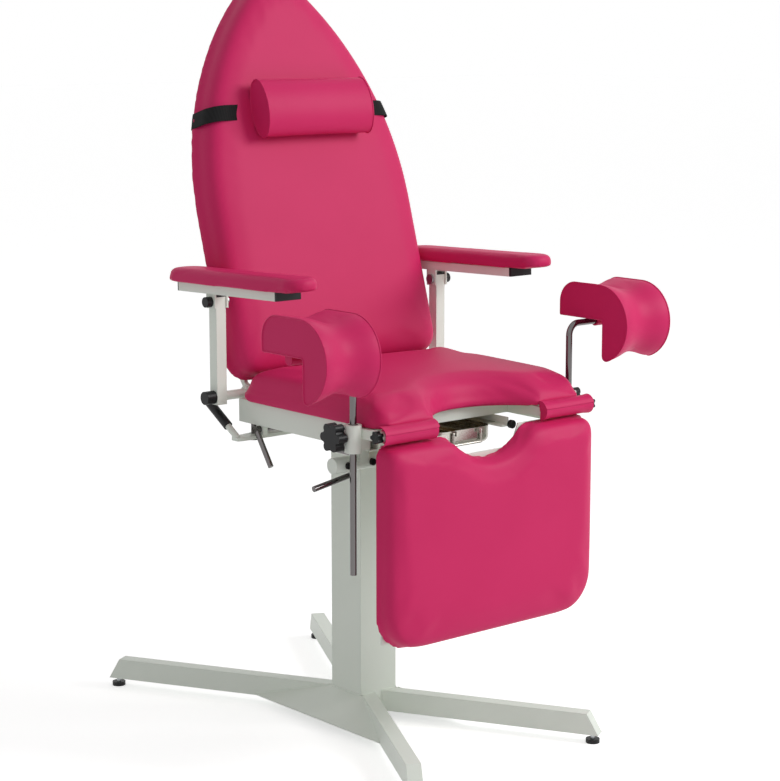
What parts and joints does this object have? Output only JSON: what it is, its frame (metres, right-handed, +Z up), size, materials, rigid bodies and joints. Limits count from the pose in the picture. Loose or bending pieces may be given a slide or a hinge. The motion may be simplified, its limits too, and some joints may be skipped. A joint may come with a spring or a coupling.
{
  "type": "gynecological examination chair",
  "caption": "Padded examination chair on a column stand, with reclining back, folding legrest and armrests, leg holders with crutch pads, and a sliding basin.",
  "frame": {"origin": "on the floor, under the centre of the outline seen from above", "axes": "+Z up; the front of the chair faces -Y; +X is the right of the chair seen from the front"},
  "size_m": [0.94, 1.0406, 1.6083],
  "materials": {
    "white_steel": "white powder coat",
    "chrome": "polished chrome plating",
    "black_plastic": "moulded, satin",
    "pink_leather": "fine-grained pink faux leather over foam",
    "plywood": "bare plywood, covered behind",
    "webbing": "black woven webbing",
    "stainless": "satin stainless steel"
  },
  "bodies": {
    "base_frame": {"column": "white_steel", "leg_front_left": "white_steel", "leg_front_right": "white_steel", "leg_rear_left": "white_steel", "leg_rear_right": "white_steel", "base_gussets": "white_steel", "column_head": "white_steel", "side_rail_left": "white_steel", "side_rail_right": "white_steel", "cross_tubes": "white_steel", "front_cross_tube": "white_steel", "front_bracket_left": "white_steel", "front_bracket_right": "white_steel", "hinge_pins": "chrome", "leg_lock_tube": "white_steel", "basin_runners": "white_steel", "arm_posts": "white_steel", "arm_pivots": "black_plastic", "end_caps": "black_plastic", "seat_board": "plywood", "seat_pad": "pink_leather", "back_lock_housing": "white_steel"},
    "backrest": {"back_frame": "white_steel", "back_board": "plywood", "back_pad": "pink_leather"},
    "headrest": {"pillow": "pink_leather", "pillow_strap": "webbing"},
    "back_lock_rod": {"back_lock_rod": "chrome"},
    "back_release_lever": {"back_release_lever": "white_steel", "release_grip": "black_plastic"},
    "back_clamp_lever": {"back_clamp_lever": "chrome"},
    "legrest": {"leg_frame": "white_steel", "leg_pad": "pink_leather", "leg_rolls": "pink_leather"},
    "leg_lock_rod": {"leg_lock_rod": "chrome"},
    "leg_lock_lever": {"leg_lock_lever": "chrome"},
    "basin": {"basin": "stainless"},
    "basin_handle": {"basin_handle": "stainless"},
    "foot_front_left": {"foot_front_left": "black_plastic"},
    "foot_rear_left": {"foot_rear_left": "black_plastic"},
    "armrest_left": {"arm_rail_left": "white_steel", "arm_caps_left": "black_plastic", "arm_pad_left": "pink_leather"},
    "post_knob_left": {"post_knob_left": "black_plastic"},
    "holder_bush_left": {"holder_bush_left": "black_plastic"},
    "holder_rod_left": {"holder_rod_left": "chrome"},
    "crutch_left": {"crutch_saddle_left": "white_steel", "crutch_left": "pink_leather"},
    "star_knob_left": {"star_knob_left": "black_plastic"},
    "foot_front_right": {"foot_front_right": "black_plastic"},
    "foot_rear_right": {"foot_rear_right": "black_plastic"},
    "armrest_right": {"arm_rail_right": "white_steel", "arm_caps_right": "black_plastic", "arm_pad_right": "pink_leather"},
    "post_knob_right": {"post_knob_right": "black_plastic"},
    "holder_bush_right": {"holder_bush_right": "black_plastic"},
    "holder_rod_right": {"holder_rod_right": "chrome"},
    "crutch_right": {"crutch_saddle_right": "white_steel", "crutch_right": "pink_leather"},
    "star_knob_right": {"star_knob_right": "black_plastic"}
  },
  "joints": [
    {"name": "backrest_tilt", "type": "hinge", "parent": "base_frame", "child": "backrest", "pos_m": [0, 0.06932, 0.74], "axis": [-1, 0, 0], "range_deg": [0, 70]},
    {"name": "headrest_slide", "type": "slide", "parent": "backrest", "child": "headrest", "axis": [0, 0.2756, 0.9613], "range_m": [0, 0.06]},
    {"name": "back_lock_slide", "type": "slide", "parent": "base_frame", "child": "back_lock_rod", "axis": [0, 1, 0], "range_m": [-0.069, 0]},
    {"name": "back_release_turn", "type": "hinge", "parent": "base_frame", "child": "back_release_lever", "pos_m": [-0.252, 0.02232, 0.657], "axis": [0, 0, 1], "range_deg": [0, 7], "stiffness_Nm_per_rad": 4},
    {"name": "back_clamp_turn", "type": "hinge", "parent": "base_frame", "child": "back_clamp_lever", "pos_m": [-0.225, -0.00768, 0.675], "axis": [-1, 0, 0], "range_deg": [0, 45]},
    {"name": "legrest_tilt", "type": "hinge", "parent": "base_frame", "child": "legrest", "pos_m": [0, -0.43268, 0.724], "axis": [-1, 0, 0], "range_deg": [0, 85]},
    {"name": "leg_lock_slide", "type": "slide", "parent": "base_frame", "child": "leg_lock_rod", "axis": [0, 1, 0], "range_m": [-0.1085, 0]},
    {"name": "leg_lock_turn", "type": "hinge", "parent": "base_frame", "child": "leg_lock_lever", "pos_m": [-0.268, -0.32768, 0.64], "axis": [0, 0, 1], "range_deg": [-60, 20]},
    {"name": "basin_slide", "type": "slide", "parent": "base_frame", "child": "basin", "axis": [0, -1, 0], "range_m": [0, 0.048]},
    {"name": "basin_handle_swing", "type": "hinge", "parent": "basin", "child": "basin_handle", "pos_m": [0, -0.37168, 0.69], "axis": [-1, 0, 0], "range_deg": [0, 70]},
    {"name": "foot_front_left_turn", "type": "hinge", "parent": "base_frame", "child": "foot_front_left", "pos_m": [-0.2534, -0.49862, 0.015], "axis": [0, 0, 1], "continuous": true},
    {"name": "foot_rear_left_turn", "type": "hinge", "parent": "base_frame", "child": "foot_rear_left", "pos_m": [-0.29483, 0.49862, 0.015], "axis": [0, 0, 1], "continuous": true},
    {"name": "armrest_left_fold", "type": "hinge", "parent": "base_frame", "child": "armrest_left", "pos_m": [-0.3085, 0.06932, 0.943], "axis": [-1, 0, 0], "range_deg": [0, 90]},
    {"name": "post_knob_left_turn", "type": "hinge", "parent": "base_frame", "child": "post_knob_left", "pos_m": [-0.31, 0.06932, 0.74], "axis": [1, 0, 0], "continuous": true},
    {"name": "holder_left_swivel", "type": "hinge", "parent": "base_frame", "child": "holder_bush_left", "pos_m": [-0.299, -0.36568, 0.713], "axis": [0, 0, 1], "range_deg": [-30, 45]},
    {"name": "holder_left_height", "type": "slide", "parent": "holder_bush_left", "child": "holder_rod_left", "axis": [0, 0, 1], "range_m": [-0.08, 0.1]},
    {"name": "crutch_left_tilt", "type": "hinge", "parent": "holder_rod_left", "child": "crutch_left", "pos_m": [-0.417, -0.36568, 0.886], "axis": [1, 0, 0], "range_deg": [-25, 25]},
    {"name": "star_knob_left_turn", "type": "hinge", "parent": "base_frame", "child": "star_knob_left", "pos_m": [-0.318, -0.34268, 0.716], "axis": [1, 0, 0], "continuous": true},
    {"name": "foot_front_right_turn", "type": "hinge", "parent": "base_frame", "child": "foot_front_right", "pos_m": [0.2534, -0.49862, 0.015], "axis": [0, 0, 1], "continuous": true},
    {"name": "foot_rear_right_turn", "type": "hinge", "parent": "base_frame", "child": "foot_rear_right", "pos_m": [0.29483, 0.49862, 0.015], "axis": [0, 0, 1], "continuous": true},
    {"name": "armrest_right_fold", "type": "hinge", "parent": "base_frame", "child": "armrest_right", "pos_m": [0.3085, 0.06932, 0.943], "axis": [-1, 0, 0], "range_deg": [0, 90]},
    {"name": "post_knob_right_turn", "type": "hinge", "parent": "base_frame", "child": "post_knob_right", "pos_m": [0.31, 0.06932, 0.74], "axis": [1, 0, 0], "continuous": true},
    {"name": "holder_right_swivel", "type": "hinge", "parent": "base_frame", "child": "holder_bush_right", "pos_m": [0.299, -0.36568, 0.713], "axis": [0, 0, -1], "range_deg": [-30, 45]},
    {"name": "holder_right_height", "type": "slide", "parent": "holder_bush_right", "child": "holder_rod_right", "axis": [0, 0, 1], "range_m": [-0.08, 0.1]},
    {"name": "crutch_right_tilt", "type": "hinge", "parent": "holder_rod_right", "child": "crutch_right", "pos_m": [0.417, -0.36568, 0.886], "axis": [1, 0, 0], "range_deg": [-25, 25]},
    {"name": "star_knob_right_turn", "type": "hinge", "parent": "base_frame", "child": "star_knob_right", "pos_m": [0.318, -0.34268, 0.716], "axis": [1, 0, 0], "continuous": true}
  ],
  "couplings": [
    {"joint": "back_lock_slide", "follows": "backrest_tilt", "m_per_rad": -0.056337},
    {"joint": "leg_lock_slide", "follows": "legrest_tilt", "m_per_rad": -0.072863}
  ]
}
